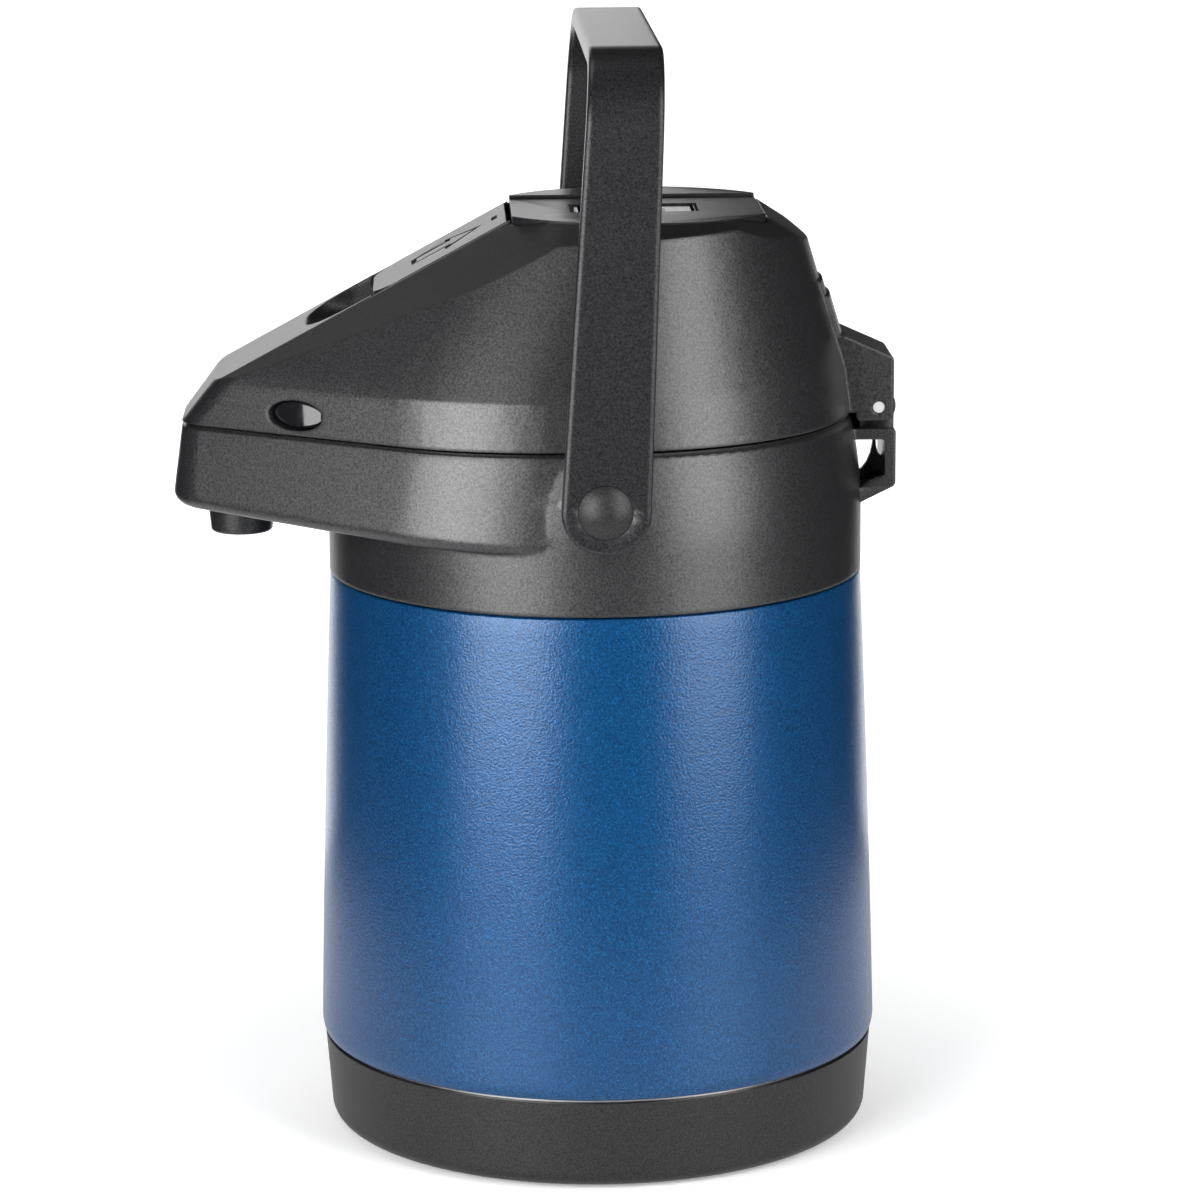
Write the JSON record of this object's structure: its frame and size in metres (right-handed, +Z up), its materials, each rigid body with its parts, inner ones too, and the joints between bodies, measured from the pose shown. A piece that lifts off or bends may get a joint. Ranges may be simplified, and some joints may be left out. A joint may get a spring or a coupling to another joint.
{
  "type": "pump pot",
  "caption": "Vacuum pump pot with a blue steel body, hinged pump lid with beak spout, release lever, sliding lock, side catches and a bail handle.",
  "frame": {"origin": "centre of the foot on the table, on the body axis", "axes": "+Z up along the body axis, spout towards -Y, lid hinge towards +Y, +X to the right of the pot seen from behind"},
  "size_m": [0.182, 0.2135, 0.33],
  "materials": {
    "casing_paint": "fine hammered metallic lacquer, deep blue",
    "steel": "satin stainless steel",
    "black_plastic": "matte charcoal plastic with fine grain",
    "base_plastic": "matte dark warm grey plastic",
    "gloss_black": "polished black plastic",
    "light_grey": "light grey plastic",
    "inner_plastic": "dark grey plastic",
    "clear_tube": "milky natural plastic",
    "silicone": "soft grey silicone",
    "rubber": "matte black rubber"
  },
  "bodies": {
    "pot": {"outer_casing": "casing_paint", "vacuum_liner": "steel", "liner_floor": "steel", "liner_neck": "steel", "casing_bottom": "steel", "vacuum_seal_cap": "steel", "base_cover": "base_plastic", "foot_pad": "rubber", "base_screws": "steel", "shoulder": "black_plastic", "shoulder_deck": "inner_plastic", "deck_screws": "steel", "neck_ring": "inner_plastic", "neck_gasket": "silicone", "riser_tube": "clear_tube", "riser_joint": "silicone", "delivery_pipe": "clear_tube", "nozzle": "black_plastic", "hinge_pin": "steel", "pivot_screws": "steel"},
    "bail": {"handle": "black_plastic", "pivot_caps": "black_plastic"},
    "lid": {"lid_shell": "black_plastic", "inner_lid": "inner_plastic", "lid_screws": "steel", "mouth_gasket": "silicone", "bellows": "silicone", "bellows_ring": "inner_plastic", "return_spring": "steel", "air_valve": "silicone", "lever_pin": "steel", "lever_spring": "steel", "catch_springs": "steel"},
    "pump": {"press_plate": "black_plastic", "plunger": "inner_plastic", "lock_tray": "gloss_black", "slider_stop": "light_grey"},
    "lock": {"lock_slider": "light_grey"},
    "lever": {"release_lever": "black_plastic"},
    "right_catch": {"catch_button_right": "gloss_black"},
    "left_catch": {"catch_button_left": "gloss_black"}
  },
  "joints": [
    {"name": "handle_swing", "type": "hinge", "parent": "pot", "child": "bail", "pos_m": [0, 0, 0.2016], "axis": [1, 0, 0], "range_deg": [-95, 74]},
    {"name": "lid_hinge", "type": "hinge", "parent": "pot", "child": "lid", "pos_m": [0, 0.0837, 0.2181], "axis": [-1, 0, 0], "range_deg": [0, 25]},
    {"name": "pump_stroke", "type": "slide", "parent": "lid", "child": "pump", "axis": [0, 0, -1], "range_m": [0, 0.02], "stiffness_N_per_m": 800, "springref_m": -0.01, "deforming": ["bellows", "return_spring"]},
    {"name": "lock_slide", "type": "slide", "parent": "pump", "child": "lock", "axis": [0, -1, 0], "range_m": [0, 0.009]},
    {"name": "lever_lift", "type": "hinge", "parent": "lid", "child": "lever", "pos_m": [0, -0.0274, 0.27178], "axis": [-1, 0, 0], "range_deg": [0, 15], "stiffness_Nm_per_rad": 0.06, "springref_deg": -17.19, "deforming": ["lever_spring"]},
    {"name": "right_catch_press", "type": "slide", "parent": "lid", "child": "right_catch", "axis": [-0.8271, 0.5621, 0], "range_m": [0, 0.003], "stiffness_N_per_m": 500, "springref_m": -0.002, "deforming": ["catch_springs"]},
    {"name": "left_catch_press", "type": "slide", "parent": "lid", "child": "left_catch", "axis": [0.8271, 0.5621, 0], "range_m": [0, 0.003], "stiffness_N_per_m": 500, "springref_m": -0.002, "deforming": ["catch_springs"]}
  ]
}
